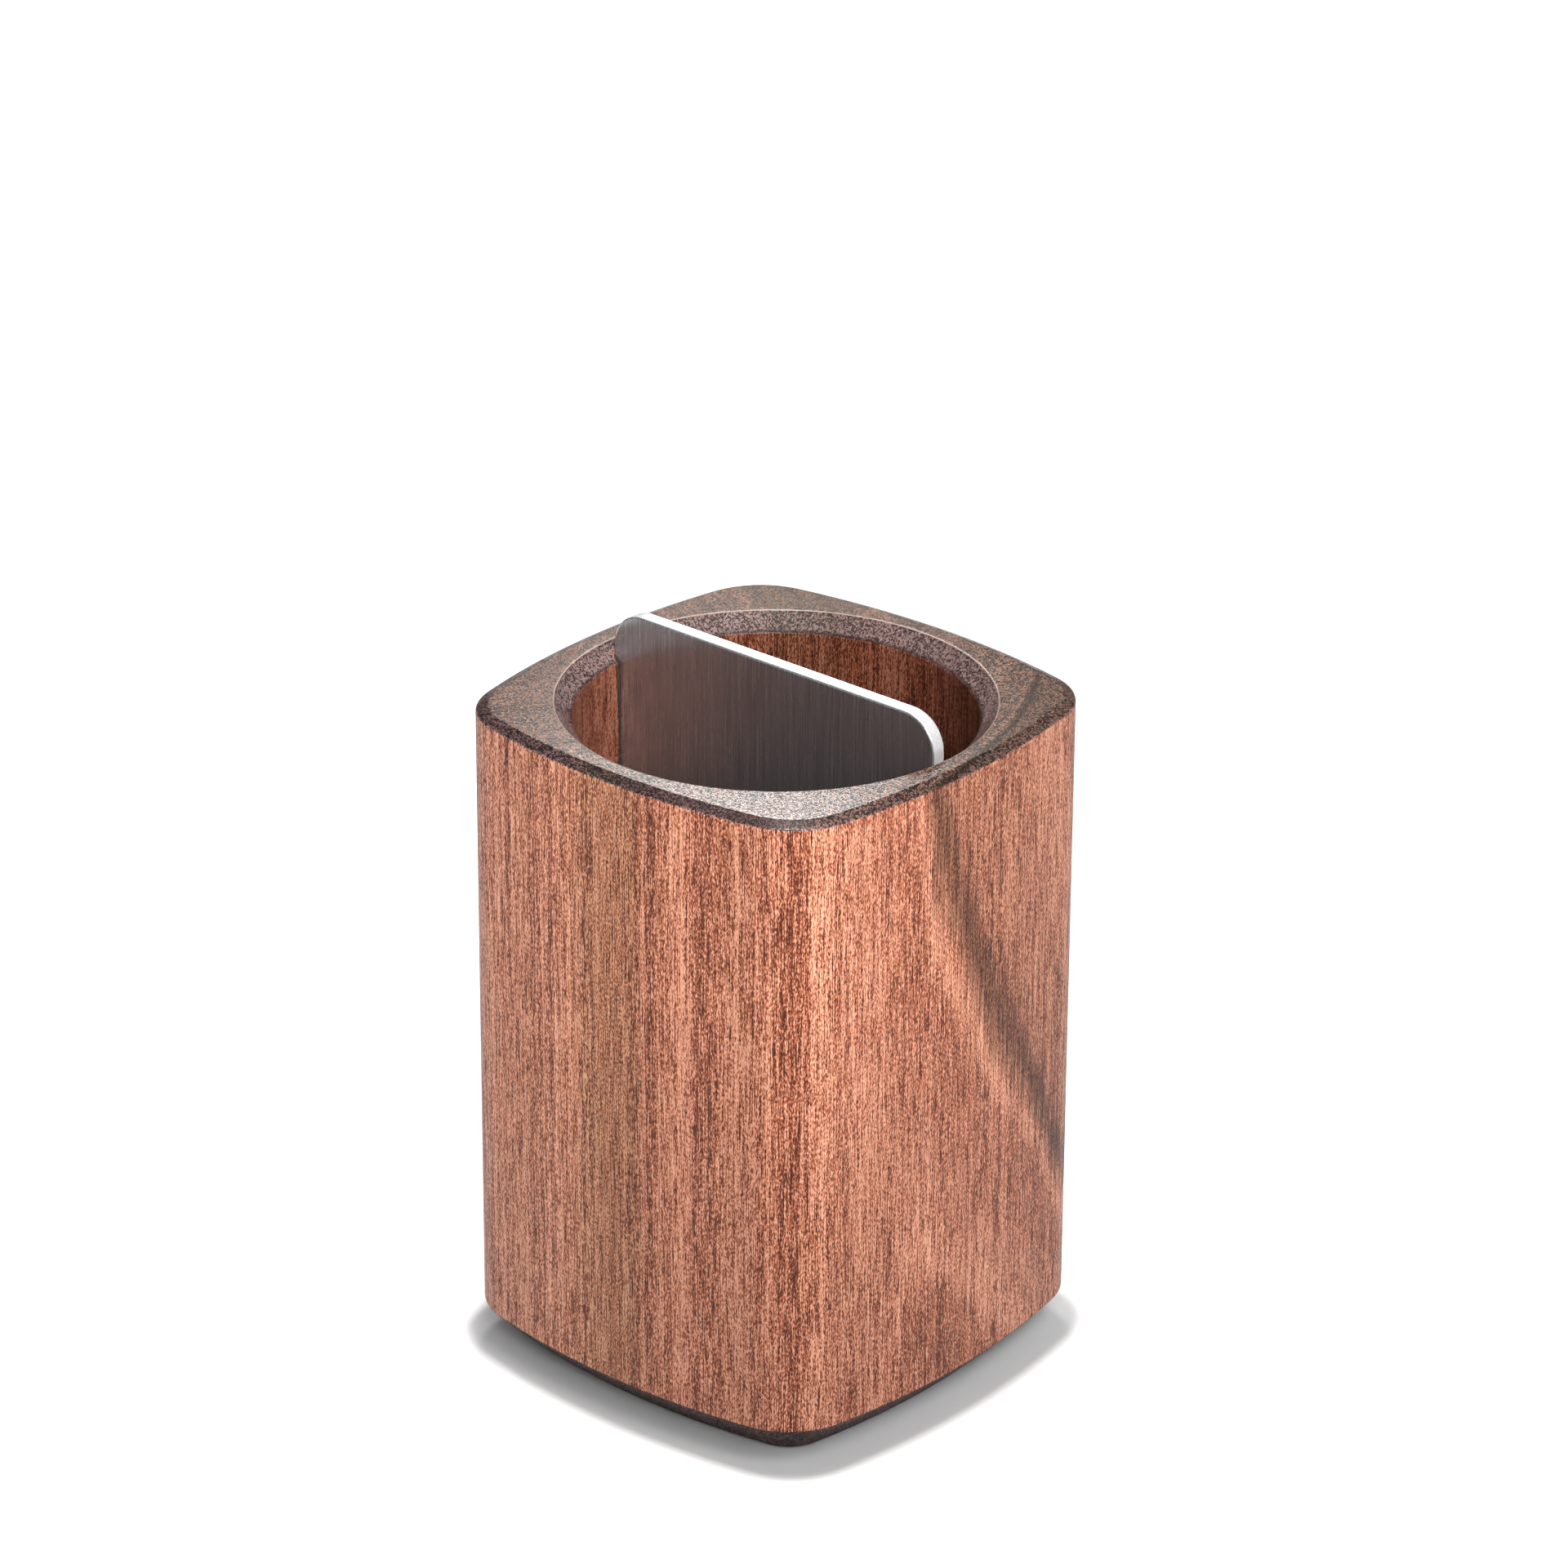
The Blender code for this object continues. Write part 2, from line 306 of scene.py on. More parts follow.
    # sheen and relief
    sheen = addNode(tree, "ShaderNodeMapRange", links={
        "Value": onEnd.outputs[0], "To Min": look["sideRoughness"], "To Max": look["endRoughness"]})
    poreDulled = addNode(tree, "ShaderNodeMath", {"operation": "MULTIPLY_ADD"}, {
        0: pores.outputs[0], 1: look["poreDulling"], 2: sheen.outputs[0]})
    speckSheen = addNode(tree, "ShaderNodeMapRange", {"range": look["speckRoughness"]}, {
        "Value": noises["speck"].outputs[0]})
    speckled = addNode(tree, "ShaderNodeMath", {"operation": "MULTIPLY_ADD"}, {
        0: speckSheen.outputs[0], 1: onEnd.outputs[0], 2: poreDulled.outputs[0]})
    rough = addNode(tree, "ShaderNodeMath", {"operation": "MULTIPLY_ADD"}, {
        0: onFoot.outputs[0], 1: look["footDulling"], 2: speckled.outputs[0]})
    sideRelief = addNode(tree, "ShaderNodeMath", {"operation": "SUBTRACT"}, {
        0: noises["fibre"].outputs[0], 1: pores.outputs[0]})
    endRelief = addNode(tree, "ShaderNodeMath", {"operation": "MULTIPLY"}, {
        0: noises["speck"].outputs[0], 1: look["speckRelief"]})
    relief = addNode(tree, "ShaderNodeMix", links={
        0: onEnd.outputs[0], 2: sideRelief.outputs[0], 3: endRelief.outputs[0]})
    bump = addNode(tree, "ShaderNodeBump", links={
        "Height": relief.outputs[0], "Strength": look["bump"], "Distance": look["bumpHeight"] * mm})
    shader = addNode(tree, "ShaderNodeBsdfPrincipled", links={
        "Base Color": colour.outputs[2], "Roughness": rough.outputs[0], "Normal": bump.outputs[0],
        "IOR": look["ior"], "Specular IOR Level": look["specular"]})
    addNode(tree, "ShaderNodeOutputMaterial", links={"Surface": shader.outputs[0]})
    return material


# Stainless sheet with an upright brushed grain: dull grey face, bright sheared edge.
steelLook = {
    "lineSize": (0.13, 0.13, 14.0), "lineDetail": 3.0, "lineRoughness": 0.65,   # size in mm
    "tones": [(0.25, "#929597"), (0.75, "#d4d4d8")], "edge": "#d6d6d6",
    "edgeFaces": (0.3, 0.8, 1.0, 0.0),       # by how far they face across the sheet
    "roughness": (0.25, 0.75, 0.18, 0.30),
    "metallic": (0.0, 1.0, 0.88, 0.45),      # a dulled skin on the face, more of it on the sheared edge
    "bump": 0.25, "bumpHeight": 0.03,        # height in mm
}


def makeSteel(look):
    material, tree = newMaterial("brushedStainlessSheet")
    place = addNode(tree, "ShaderNodeTexCoord")
    grain = addNode(tree, "ShaderNodeMapping", links={"Vector": place.outputs["Object"], "Scale": inMm})
    lineSpace = addNode(tree, "ShaderNodeVectorMath", {"operation": "DIVIDE"}, {
        0: grain.outputs[0], 1: look["lineSize"]})
    lines = addNode(tree, "ShaderNodeTexNoise", links={
        "Vector": lineSpace.outputs[0], "Scale": 1.0,
        "Detail": look["lineDetail"], "Roughness": look["lineRoughness"]})
    tone = addNode(tree, "ShaderNodeValToRGB", {"stops": look["tones"]}, {0: lines.outputs[0]})
    rough = addNode(tree, "ShaderNodeMapRange", {"range": look["roughness"]}, {"Value": lines.outputs[0]})
    facing = addNode(tree, "ShaderNodeNewGeometry")
    tilt = addNode(tree, "ShaderNodeSeparateXYZ", links={0: facing.outputs["Normal"]})
    across = addNode(tree, "ShaderNodeMath", {"operation": "ABSOLUTE"}, {0: tilt.outputs["Y"]})
    onEdge = addNode(tree, "ShaderNodeMapRange", {"range": look["edgeFaces"]}, {"Value": across.outputs[0]})
    colour = addNode(tree, "ShaderNodeMix", {"data_type": "RGBA"}, {
        0: onEdge.outputs[0], 6: tone.outputs[0], 7: linear(look["edge"])})
    metallic = addNode(tree, "ShaderNodeMapRange", {"range": look["metallic"]}, {"Value": onEdge.outputs[0]})
    bump = addNode(tree, "ShaderNodeBump", links={
        "Height": lines.outputs[0], "Strength": look["bump"], "Distance": look["bumpHeight"] * mm})
    shader = addNode(tree, "ShaderNodeBsdfPrincipled", links={
        "Base Color": colour.outputs[2], "Metallic": metallic.outputs[0],
        "Roughness": rough.outputs[0], "Normal": bump.outputs[0]})
    addNode(tree, "ShaderNodeOutputMaterial", links={"Surface": shader.outputs[0]})
    return material


# Pressed cork sheet: pale and dark crumbs stuck together, quite matt.
corkLook = {
    "crumb": 1.8, "fleck": 0.7, "fleckDetail": 4.0,   # sizes in mm
    "tones": [(0.0, "#7d5836"), (0.25, "#a9804f"), (0.6, "#c39a68"), (1.0, "#d2ae7e")],
    "mottle": 0.8,
    "seam": "#5d4026", "seamWidth": (0.0, 0.09, 1.0, 0.0),   # in crumbs
    "roughness": 0.92, "ior": 1.4,
    "bump": 0.6, "bumpHeight": 0.15,                  # height in mm
}


def makeCork(look):
    material, tree = newMaterial("pressedCorkSheet")
    place = addNode(tree, "ShaderNodeTexCoord")
    grain = addNode(tree, "ShaderNodeMapping", links={"Vector": place.outputs["Object"], "Scale": inMm})
    crumbs = addNode(tree, "ShaderNodeTexVoronoi", links={
        "Vector": grain.outputs[0], "Scale": 1 / look["crumb"]})
    seams = addNode(tree, "ShaderNodeTexVoronoi", {"feature": "DISTANCE_TO_EDGE"}, {
        "Vector": grain.outputs[0], "Scale": 1 / look["crumb"]})
    flecks = addNode(tree, "ShaderNodeTexNoise", links={
        "Vector": grain.outputs[0], "Scale": 1 / look["fleck"], "Detail": look["fleckDetail"]})
    pick = addNode(tree, "ShaderNodeSeparateColor", links={0: crumbs.outputs["Color"]})
    tone = addNode(tree, "ShaderNodeValToRGB", {"stops": look["tones"]}, {0: pick.outputs[0]})
    mottled = addNode(tree, "ShaderNodeMix", {"data_type": "RGBA", "blend_type": "SOFT_LIGHT"}, {
        0: look["mottle"], 6: tone.outputs[0], 7: flecks.outputs[0]})
    gap = addNode(tree, "ShaderNodeMapRange", {"range": look["seamWidth"]}, {
        "Value": seams.outputs["Distance"]})
    seamed = addNode(tree, "ShaderNodeMix", {"data_type": "RGBA"}, {
        0: gap.outputs[0], 6: mottled.outputs[2], 7: linear(look["seam"])})
    bump = addNode(tree, "ShaderNodeBump", links={
        "Height": flecks.outputs[0], "Strength": look["bump"], "Distance": look["bumpHeight"] * mm})
    shader = addNode(tree, "ShaderNodeBsdfPrincipled", links={
        "Base Color": seamed.outputs[2], "Roughness": look["roughness"], "IOR": look["ior"],
        "Normal": bump.outputs[0]})
    addNode(tree, "ShaderNodeOutputMaterial", links={"Surface": shader.outputs[0]})
    return material


walnut = makeWalnut(walnutLook)
steel = makeSteel(steelLook)
cork = makeCork(corkLook)
print("materials made")


def newTree(name, sockets):
    # sockets: input name to its type; every tree gives one geometry
    tree = bpy.data.node_groups.new(name, "GeometryNodeTree")
    for label, kind in sockets.items():
        tree.interface.new_socket(name=label, in_out="INPUT", socket_type="NodeSocket" + kind)
    tree.interface.new_socket(name="Geometry", in_out="OUTPUT", socket_type="NodeSocketGeometry")
    return tree, addNode(tree, "NodeGroupInput").outputs


def bowedOutlineTree():
    # four bowed sides joined by corner arcs that touch them
    tree, given = newTree("bowedOutline", {
        "Half Width": "Float", "Side Radius": "Float", "Corner Radius": "Float", "Inset": "Float",
        "Side Points": "Int", "Corner Points": "Int"})

    # the corner arc's centre lies on the diagonal, where its circle touches both side circles
    sideCentre = addNode(tree, "ShaderNodeMath", {"operation": "SUBTRACT"}, {
        0: given["Half Width"], 1: given["Side Radius"]})
    sideReach = addNode(tree, "ShaderNodeMath", {"operation": "SUBTRACT"}, {
        0: given["Side Radius"], 1: given["Inset"]})
    between = addNode(tree, "ShaderNodeMath", {"operation": "SUBTRACT"}, {
        0: sideReach.outputs[0], 1: given["Corner Radius"]})
    betweenSquare = addNode(tree, "ShaderNodeMath", {"operation": "MULTIPLY"}, {
        0: between.outputs[0], 1: between.outputs[0]})
    centreSquare = addNode(tree, "ShaderNodeMath", {"operation": "MULTIPLY"}, {
        0: sideCentre.outputs[0], 1: sideCentre.outputs[0]})
    twice = addNode(tree, "ShaderNodeMath", {"operation": "MULTIPLY"}, {0: betweenSquare.outputs[0], 1: 2.0})
    spread = addNode(tree, "ShaderNodeMath", {"operation": "SUBTRACT"}, {
        0: twice.outputs[0], 1: centreSquare.outputs[0]})
    root = addNode(tree, "ShaderNodeMath", {"operation": "SQRT"}, {0: spread.outputs[0]})
    along = addNode(tree, "ShaderNodeMath", {"operation": "ADD"}, {
        0: sideCentre.outputs[0], 1: root.outputs[0]})
    cornerCentre = addNode(tree, "ShaderNodeMath", {"operation": "MULTIPLY"}, {0: along.outputs[0], 1: 0.5})

    # the angle at which a side's arc ends and a corner's begins
    apart = addNode(tree, "ShaderNodeMath", {"operation": "SUBTRACT"}, {
        0: cornerCentre.outputs[0], 1: sideCentre.outputs[0]})
    join = addNode(tree, "ShaderNodeMath", {"operation": "ARCTAN2"}, {
        0: cornerCentre.outputs[0], 1: apart.outputs[0]})
    joinBack = addNode(tree, "ShaderNodeMath", {"operation": "MULTIPLY"}, {0: join.outputs[0], 1: -1.0})
    sideSweep = addNode(tree, "ShaderNodeMath", {"operation": "MULTIPLY"}, {0: join.outputs[0], 1: 2.0})
    cornerSweep = addNode(tree, "ShaderNodeMath", {"operation": "SUBTRACT"}, {
        0: math.pi / 2, 1: sideSweep.outputs[0]})

    # one side and one corner, turned round four times
    side = addNode(tree, "GeometryNodeCurveArc", {"mode": "RADIUS"}, {
        "Resolution": given["Side Points"], "Radius": sideReach.outputs[0],
        "Start Angle": joinBack.outputs[0], "Sweep Angle": sideSweep.outputs[0]})
    corner = addNode(tree, "GeometryNodeCurveArc", {"mode": "RADIUS"}, {
        "Resolution": given["Corner Points"], "Radius": given["Corner Radius"],
        "Start Angle": join.outputs[0], "Sweep Angle": cornerSweep.outputs[0]})
    sidePlace = addNode(tree, "ShaderNodeCombineXYZ", links={"X": sideCentre.outputs[0]})
    cornerPlace = addNode(tree, "ShaderNodeCombineXYZ", links={
        "X": cornerCentre.outputs[0], "Y": cornerCentre.outputs[0]})
    quarter = addNode(tree, "GeometryNodeJoinGeometry")
    for arc, arcPlace in ((side, sidePlace), (corner, cornerPlace)):
        moved = addNode(tree, "GeometryNodeTransform", links={
            "Geometry": arc.outputs[0], "Translation": arcPlace.outputs[0]})
        tree.links.new(moved.outputs[0], quarter.inputs[0])
    edges = addNode(tree, "GeometryNodeCurveToMesh", links={"Curve": quarter.outputs[0]})
    turns = addNode(tree, "GeometryNodePoints", links={"Count": 4})
    which = addNode(tree, "GeometryNodeInputIndex")
    angle = addNode(tree, "ShaderNodeMath", {"operation": "MULTIPLY"}, {0: which.outputs[0], 1: math.pi / 2})
    turn = addNode(tree, "ShaderNodeCombineXYZ", links={"Z": angle.outputs[0]})
    turned = addNode(tree, "GeometryNodeInstanceOnPoints", links={
        "Points": turns.outputs[0], "Instance": edges.outputs[0], "Rotation": turn.outputs[0]})
    loose = addNode(tree, "GeometryNodeRealizeInstances", links={0: turned.outputs[0]})
    closed = addNode(tree, "GeometryNodeMergeByDistance", links={
        "Geometry": loose.outputs[0], "Distance": 2 * touching})
    loop = addNode(tree, "GeometryNodeMeshToCurve", links={"Mesh": closed.outputs[0]})
    addNode(tree, "NodeGroupOutput", links={0: loop.outputs[0]})
    return tree


bowedOutline = bowedOutlineTree()


def drawSection(name, points):
    # open polyline, (outwards, up) in metres; the sweep reads up as -Y
    curve = bpy.data.curves.new(name, "CURVE")
    curve.dimensions = "3D"
    line = curve.splines.new("POLY")
    line.points.add(len(points) - 1)
    for point, (outwards, up) in zip(line.points, points):
        point.co = (outwards, -up, 0.0, 1.0)
    section = bpy.data.objects.new(name, curve)
    scene.collection.objects.link(section)
    return section


def settle(piece):
    # the evaluated shape becomes the piece's own mesh
    scene.view_layers[0].update()
    evaluated = piece.evaluated_get(bpy.context.evaluated_depsgraph_get())
    mesh = bpy.data.meshes.new_from_object(evaluated)
    piece.modifiers.clear()
    piece.data = mesh
    mesh.name = piece.name


def growPiece(name, tree, inputs, sharpAngle, edgeBreak=None):
    # runs the tree on an empty mesh, sets its inputs, and keeps the result as a plain mesh
    piece = bpy.data.objects.new(name, bpy.data.meshes.new(name))
    scene.collection.objects.link(piece)
    grow = piece.modifiers.new("grow", "NODES")
    grow.node_group = tree
    for item in tree.interface.items_tree:
        if item.in_out == "INPUT":
            grow[item.identifier] = inputs[item.name]
    settle(piece)
    shape = bmesh.new()
    shape.from_mesh(piece.data)
    bmesh.ops.remove_doubles(shape, verts=shape.verts, dist=touching)
    bmesh.ops.recalc_face_normals(shape, faces=shape.faces)
    openEdges = sum(not edge.is_manifold for edge in shape.edges)
    shape.to_mesh(piece.data)
    shape.free()
    piece.data.shade_smooth()
    piece.data.set_sharp_from_angle(angle=math.radians(sharpAngle))
    if edgeBreak:
        easing = piece.modifiers.new("edgeBreak", "BEVEL")
        easing.width = edgeBreak
        easing.segments = 3
        easing.limit_method = "ANGLE"
        easing.angle_limit = math.radians(sharpAngle)
    flatten = piece.modifiers.new("flatFaces", "WEIGHTED_NORMAL")
    flatten.keep_sharp = True
    settle(piece)
    print(name, "grown:", len(piece.data.polygons), "faces,", openEdges, "open edges")
    return piece


# The cup: a skin section swept round the bowed outline, a bore section swept round a circle, flat faces
# between them.
cupLow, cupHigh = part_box("cup_body")
cupSizes = {
    "lengths": {           # mm
        "sideRadius": 119.5, "cornerRadius": 11.9,
        "rimChamfer": 1.8, "rimDrop": 0.8, "footChamfer": 5.8,
        "wall": 6.9, "floor": 9.0, "mouthChamfer": 2.6,
        "grooveDepth": 1.3, "grooveSlack": 0.3,
        "recessDepth": 1.5, "padMargin": 3.5, "padCorner": 4.0,
        "arris": 0.45,     # sanded roundness of the edges
        "ledge": 1.0,      # flat kept beside a rounded edge
    },
    "points": {            # along each arc
        "side": 65, "corner": 25, "bore": 192, "arris": 5, "padSide": 17, "padCorner": 9,
    },
    "sharpAngle": 40,      # degrees
}


def cupTree(points):
    tree, given = newTree("boredBlock", {
        "Half Width": "Float", "Side Radius": "Float", "Corner Radius": "Float", "Skin": "Object",
        "Bore": "Object", "Bore Radius": "Float", "Arris": "Float", "Rim": "Float", "Base": "Float",
        "Groove Size": "Vector", "Groove Place": "Vector", "Recess Inset": "Float", "Recess Corner": "Float",
        "Recess Floor": "Vector", "Recess Roof": "Vector", "Material": "Material"})
    outline = addNode(tree, "GeometryNodeGroup", {"node_tree": bowedOutline}, {
        "Half Width": given["Half Width"], "Side Radius": given["Side Radius"],
        "Corner Radius": given["Corner Radius"],
        "Side Points": points["side"], "Corner Points": points["corner"]})
    circle = addNode(tree, "GeometryNodeCurvePrimitiveCircle", links={
        "Resolution": points["bore"], "Radius": given["Bore Radius"]})
    swept = []
    for path, label in ((outline, "Skin"), (circle, "Bore")):
        upright = addNode(tree, "GeometryNodeSetCurveNormal", {"mode": "Z_UP"}, {"Curve": path.outputs[0]})
        drawn = addNode(tree, "GeometryNodeObjectInfo", links={"Object": given[label]})
        eased = addNode(tree, "GeometryNodeFilletCurve", {"mode": "POLY"}, {
            "Curve": drawn.outputs["Geometry"], "Count": points["arris"], "Radius": given["Arris"],
            "Limit Radius": True})
        sweep = addNode(tree, "GeometryNodeCurveToMesh", links={
            "Curve": upright.outputs[0], "Profile Curve": eased.outputs[0]})
        swept.append(sweep.outputs[0])

    # the open rims of the two sweeps are filled with flat faces
    position = addNode(tree, "GeometryNodeInputPosition")
    where = addNode(tree, "ShaderNodeSeparateXYZ", links={0: position.outputs[0]})
    neighbours = addNode(tree, "GeometryNodeInputMeshEdgeNeighbors")
    rimEdge = addNode(tree, "FunctionNodeCompare", {"data_type": "INT", "operation": "EQUAL"}, {
        2: neighbours.outputs[0], 3: 1})
    middle = addNode(tree, "ShaderNodeMath", {"operation": "MULTIPLY"}, {0: given["Rim"], 1: 0.5})
    upper = addNode(tree, "FunctionNodeCompare", {"operation": "GREATER_THAN"}, {
        0: where.outputs["Z"], 1: middle.outputs[0]})
    rimUpper = addNode(tree, "FunctionNodeBooleanMath", {"operation": "AND"}, {
        0: rimEdge.outputs[0], 1: upper.outputs[0]})
    rimLower = addNode(tree, "FunctionNodeBooleanMath", {"operation": "NIMPLY"}, {
        0: rimEdge.outputs[0], 1: upper.outputs[0]})
    topLoops = addNode(tree, "GeometryNodeJoinGeometry")
    for shell in swept:
        topLoop = addNode(tree, "GeometryNodeMeshToCurve", links={
            "Mesh": shell, "Selection": rimUpper.outputs[0]})
        tree.links.new(topLoop.outputs[0], topLoops.inputs[0])
    top = addNode(tree, "GeometryNodeFillCurve", {"mode": "NGONS"}, {"Curve": topLoops.outputs[0]})
    footLoop = addNode(tree, "GeometryNodeMeshToCurve", links={
        "Mesh": swept[0], "Selection": rimLower.outputs[0]})
    foot = addNode(tree, "GeometryNodeFillCurve", {"mode": "NGONS"}, {"Curve": footLoop.outputs[0]})
    footDown = addNode(tree, "GeometryNodeFlipFaces", links={"Mesh": foot.outputs[0]})
    parts = addNode(tree, "GeometryNodeJoinGeometry")
    for flat, level in ((top, "Rim"), (footDown, "Base")):   # a fill lies at zero, so it is lifted to its rim
        lift = addNode(tree, "ShaderNodeCombineXYZ", links={"Z": given[level]})
        lifted = addNode(tree, "GeometryNodeTransform", links={
            "Geometry": flat.outputs[0], "Translation": lift.outputs[0]})
        tree.links.new(lifted.outputs[0], parts.inputs[0])
    for shell in swept:
        tree.links.new(shell, parts.inputs[0])
    block = addNode(tree, "GeometryNodeMergeByDistance", links={
        "Geometry": parts.outputs[0], "Distance": touching})

    # the groove for the plate and the recess for the pad are cut out
    groove = addNode(tree, "GeometryNodeMeshCube", links={"Size": given["Groove Size"]})
    groovePlaced = addNode(tree, "GeometryNodeTransform", links={
        "Geometry": groove.outputs[0], "Translation": given["Groove Place"]})
    recessPlan = addNode(tree, "GeometryNodeGroup", {"node_tree": bowedOutline}, {
        "Half Width": given["Half Width"], "Side Radius": given["Side Radius"],
        "Corner Radius": given["Recess Corner"], "Inset": given["Recess Inset"],
        "Side Points": points["padSide"], "Corner Points": points["padCorner"]})
    rise = addNode(tree, "GeometryNodeCurvePrimitiveLine", links={
        "Start": given["Recess Floor"], "End": given["Recess Roof"]})
    recess = addNode(tree, "GeometryNodeCurveToMesh", links={
        "Curve": rise.outputs[0], "Profile Curve": recessPlan.outputs[0], "Fill Caps": True})
    cut = addNode(tree, "GeometryNodeMeshBoolean", {"operation": "DIFFERENCE", "solver": "EXACT"}, {
        "Mesh 1": block.outputs[0]})
    for cutter in (groovePlaced, recess):
        tree.links.new(cutter.outputs[0], cut.inputs["Mesh 2"])
    real = addNode(tree, "GeometryNodeRealizeInstances", links={0: cut.outputs[0]})
    dressed = addNode(tree, "GeometryNodeSetMaterial", links={
        "Geometry": real.outputs[0], "Material": given["Material"]})
    addNode(tree, "NodeGroupOutput", links={0: dressed.outputs[0]})
    return tree


def makeCup(sizes):
    size = {name: length * mm for name, length in sizes["lengths"].items()}
    halfWidth = cupHigh.x
    rim = cupHigh.z
    base = cupLow.z
    boreRadius = halfWidth - size["wall"]
    boreFloor = base + size["floor"]
    plateLow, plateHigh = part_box("divider_plate")
    grooveWidth = plateHigh.y - plateLow.y + 2 * size["grooveSlack"]
    skin = drawSection("skinSection", [
        (-size["rimChamfer"] - size["ledge"], rim), (-size["rimChamfer"], rim), (0.0, rim - size["rimDrop"]),
        (0.0, base + size["footChamfer"]), (-size["footChamfer"], base),
        (-size["footChamfer"] - size["ledge"], base)])
    bore = drawSection("boreSection", [
        (-boreRadius, boreFloor), (0.0, boreFloor), (0.0, rim - size["mouthChamfer"]),
        (size["mouthChamfer"], rim), (size["mouthChamfer"] + size["ledge"], rim)])
    cup = growPiece("walnut_cup", cupTree(sizes["points"]), {
        "Half Width": halfWidth, "Side Radius": size["sideRadius"], "Corner Radius": size["cornerRadius"],
        "Skin": skin, "Bore": bore, "Bore Radius": boreRadius, "Arris": size["arris"],
        "Rim": rim, "Base": base,
        "Groove Size": (2 * (boreRadius + size["grooveDepth"]), grooveWidth, plateHigh.z - boreFloor),
        "Groove Place": (0.0, 0.0, (plateHigh.z + boreFloor) / 2),
        "Recess Inset": size["footChamfer"] + size["padMargin"], "Recess Corner": size["padCorner"],
        "Recess Floor": (0.0, 0.0, base - size["recessDepth"]),
        "Recess Roof": (0.0, 0.0, base + size["recessDepth"]),
        "Material": walnut}, sharpAngle=sizes["sharpAngle"])
    for section in (skin, bore):
        bpy.data.objects.remove(section)
    return cup


cup = makeCup(cupSizes)


# The divider: a sheet with its two upper corners rounded.
plateSizes = {
    "cornerRadius": 5.4, "lowerCorner": 0.3, "edgeBreak": 0.3,   # mm
    "cornerPoints": 18,
    "sharpAngle": 50,   # degrees
}


def plateTree(sizes):
    tree, given = newTree("roundedSheet", {
        "Width": "Float", "Height": "Float", "Upper Corner": "Float", "Lower Corner": "Float",
        "Thickness": "Vector", "Place": "Vector", "Material": "Material"})
    sheet = addNode(tree, "GeometryNodeCurvePrimitiveQuadrilateral", links={
        "Width": given["Width"], "Height": given["Height"]})
    position = addNode(tree, "GeometryNodeInputPosition")
    where = addNode(tree, "ShaderNodeSeparateXYZ", links={0: position.outputs[0]})
    upper = addNode(tree, "FunctionNodeCompare", {"operation": "GREATER_THAN"}, {
        0: where.outputs["Y"], 1: 0.0})
    radius = addNode(tree, "GeometryNodeSwitch", {"input_type": "FLOAT"}, {
        0: upper.outputs[0], 1: given["Lower Corner"], 2: given["Upper Corner"]})
    cornered = addNode(tree, "GeometryNodeFilletCurve", {"mode": "POLY"}, {
        "Curve": sheet.outputs[0], "Count": sizes["cornerPoints"],
        "Radius": radius.outputs[0], "Limit Radius": True})
    through = addNode(tree, "GeometryNodeCurvePrimitiveLine", links={"End": given["Thickness"]})
    solid = addNode(tree, "GeometryNodeCurveToMesh", links={
        "Curve": through.outputs[0], "Profile Curve": cornered.outputs[0], "Fill Caps": True})
    stood = addNode(tree, "GeometryNodeTransform", links={
        "Geometry": solid.outputs[0], "Translation": given["Place"], "Rotation": (math.pi / 2, 0.0, 0.0)})
    real = addNode(tree, "GeometryNodeRealizeInstances", links={0: stood.outputs[0]})
    dressed = addNode(tree, "GeometryNodeSetMaterial", links={
        "Geometry": real.outputs[0], "Material": given["Material"]})
    addNode(tree, "NodeGroupOutput", links={0: dressed.outputs[0]})
    return tree


def makePlate(sizes):
    low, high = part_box("divider_plate")
    return growPiece("steel_divider", plateTree(sizes), {
        "Width": high.x - low.x, "Height": high.z - low.z,
        "Upper Corner": sizes["cornerRadius"] * mm, "Lower Corner": sizes["lowerCorner"] * mm,
        "Thickness": (0.0, 0.0, high.y - low.y), "Place": (0.0, high.y, (low.z + high.z) / 2),
        "Material": steel}, sharpAngle=sizes["sharpAngle"], edgeBreak=sizes["edgeBreak"] * mm)


plate = makePlate(plateSizes)


# The pad: a thin cork sheet cut to the recess.
padSizes = {"slack": 0.3, "edgeBreak": 0.25, "sharpAngle": 50}   # mm, the angle in degrees


def padTree(points):
    tree, given = newTree("corkSheet", {
        "Half Width": "Float", "Side Radius": "Float", "Corner Radius": "Float", "Inset": "Float",
        "Floor": "Vector", "Roof": "Vector", "Material": "Material"})
    plan = addNode(tree, "GeometryNodeGroup", {"node_tree": bowedOutline}, {
        "Half Width": given["Half Width"], "Side Radius": given["Side Radius"],
        "Corner Radius": given["Corner Radius"], "Inset": given["Inset"],
        "Side Points": points["padSide"], "Corner Points": points["padCorner"]})
    rise = addNode(tree, "GeometryNodeCurvePrimitiveLine", links={
        "Start": given["Floor"], "End": given["Roof"]})
    solid = addNode(tree, "GeometryNodeCurveToMesh", links={
        "Curve": rise.outputs[0], "Profile Curve": plan.outputs[0], "Fill Caps": True})
    real = addNode(tree, "GeometryNodeRealizeInstances", links={0: solid.outputs[0]})
    dressed = addNode(tree, "GeometryNodeSetMaterial", links={
        "Geometry": real.outputs[0], "Material": given["Material"]})
    addNode(tree, "NodeGroupOutput", links={0: dressed.outputs[0]})
    return tree


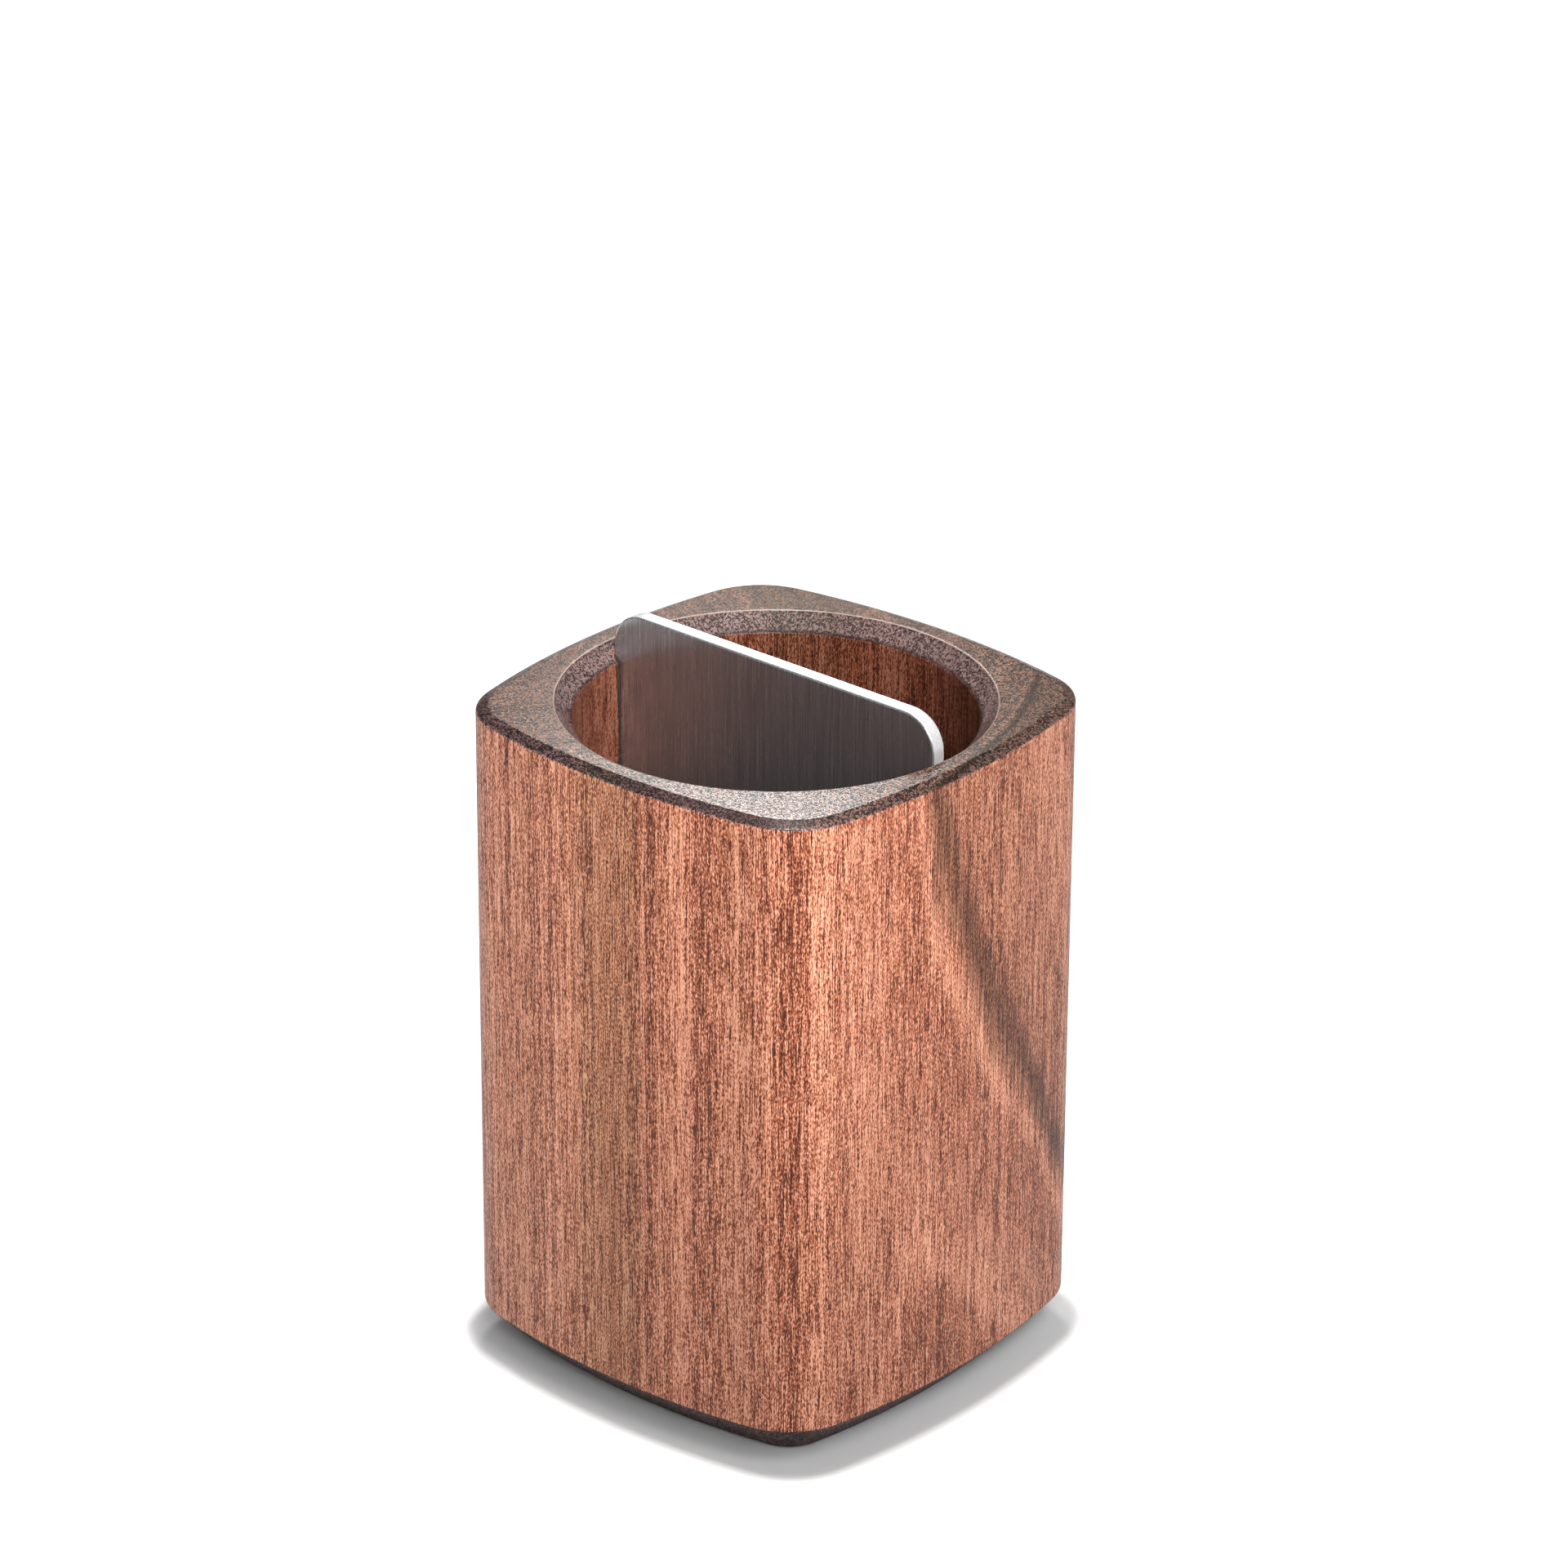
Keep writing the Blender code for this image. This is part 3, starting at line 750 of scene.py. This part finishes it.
def makePad(sizes, lengths, points):
    low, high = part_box("base_pad")
    return growPiece("cork_pad", padTree(points), {
        "Half Width": cupHigh.x, "Side Radius": lengths["sideRadius"] * mm,
        "Corner Radius": (lengths["padCorner"] - sizes["slack"]) * mm,
        "Inset": (lengths["footChamfer"] + lengths["padMargin"] + sizes["slack"]) * mm,
        "Floor": (0.0, 0.0, low.z), "Roof": (0.0, 0.0, high.z),
        "Material": cork}, sharpAngle=sizes["sharpAngle"], edgeBreak=sizes["edgeBreak"] * mm)


pad = makePad(padSizes, cupSizes["lengths"], cupSizes["points"])

for piece, body, node, slot in (
        (cup, "cup", "cup_body", "walnut"),
        (plate, "divider", "divider_plate", "stainless_steel"),
        (pad, "cup", "base_pad", "cork")):
    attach(piece, body)
    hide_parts(node)
print("pieces ride on their bodies")


# Pale studio: a small lamp straight above whitens the floor and draws the block's outline round the foot, a
# key stands to the right and a weaker one in front. Two accents light the upper part of the front corner, a
# small box behind whitens the plate's edge and the front of the rim, and the last whitens the floor behind.
studio = {
    "floorSize": 6.0, "floorColour": "#f2f2f2", "floorRoughness": 0.8,   # size in metres
    "surround": 0.21,   # strength of the white light all round
    # degrees round from -Y, degrees up, metres away, aim, metres wide and tall, spread in degrees, watts
    "softboxes": [
        ("overheadLamp", 0, 89.9, 1.50, (0.0, 0.0, 0.0), 0.04, 0.04, 180, 22.0),
        ("sideKey", 80, 48, 0.60, (0.0, 0.0, 0.08), 0.24, 0.24, 80, 0.22),
        ("frontKey", 48, 25, 0.60, (0.0, 0.0, 0.11), 0.24, 0.24, 76, 0.165),
        ("frontAccent", 46, 30, 0.50, (0.018, -0.030, 0.132), 0.40, 0.10, 26, 0.090),
        ("sideAccent", 72, 30, 0.50, (0.034, -0.006, 0.136), 0.40, 0.10, 26, 0.090),
        ("backBox", 221.2, 31.0, 0.30, (0.025, -0.0375, 0.1018), 0.06, 0.05, 180, 0.265),
        ("backgroundLight", 221, 89, 1.00, (-0.40, 0.46, 0.0), 0.60, 0.30, 56, 0.45),
    ],
}

floorMaterial, floorTree = newMaterial("paintedPaleBoard")   # flat paint, so nothing shines beside the cup
floorShader = addNode(floorTree, "ShaderNodeBsdfPrincipled", links={
    "Base Color": linear(studio["floorColour"]), "Roughness": studio["floorRoughness"]})
addNode(floorTree, "ShaderNodeOutputMaterial", links={"Surface": floorShader.outputs[0]})
floorMesh = bpy.data.meshes.new("floor")
half = studio["floorSize"] / 2
floorCorners = [(-half, -half, 0), (half, -half, 0), (half, half, 0), (-half, half, 0)]
floorMesh.from_pydata(floorCorners, [], [(0, 1, 2, 3)])
floorMesh.materials.append(floorMaterial)
floor = bpy.data.objects.new("floor", floorMesh)
scene.collection.objects.link(floor)

scene.world = bpy.data.worlds.new("paleSurround")
scene.world.use_nodes = True
worldTree = scene.world.node_tree
worldTree.nodes.clear()
surround = addNode(worldTree, "ShaderNodeBackground", links={
    "Color": (1.0, 1.0, 1.0, 1.0), "Strength": studio["surround"]})
addNode(worldTree, "ShaderNodeOutputWorld", links={"Surface": surround.outputs[0]})

for name, around, up, away, aimedAt, wide, tall, spread, watts in studio["softboxes"]:
    lamp = bpy.data.lights.new(name, "AREA")
    lamp.shape = "RECTANGLE"
    lamp.size = wide
    lamp.size_y = tall
    lamp.spread = math.radians(spread)
    lamp.energy = watts
    box = bpy.data.objects.new(name, lamp)
    aim = Vector(aimedAt)
    turn, rise = math.radians(around), math.radians(up)
    towards = Vector((math.sin(turn) * math.cos(rise), -math.cos(turn) * math.cos(rise), math.sin(rise)))
    box.location = aim + away * towards
    box.rotation_euler = (aim - box.location).to_track_quat("-Z", "Y").to_euler()
    scene.collection.objects.link(box)

scene.view_settings.view_transform = "Standard"
print("studio lit")
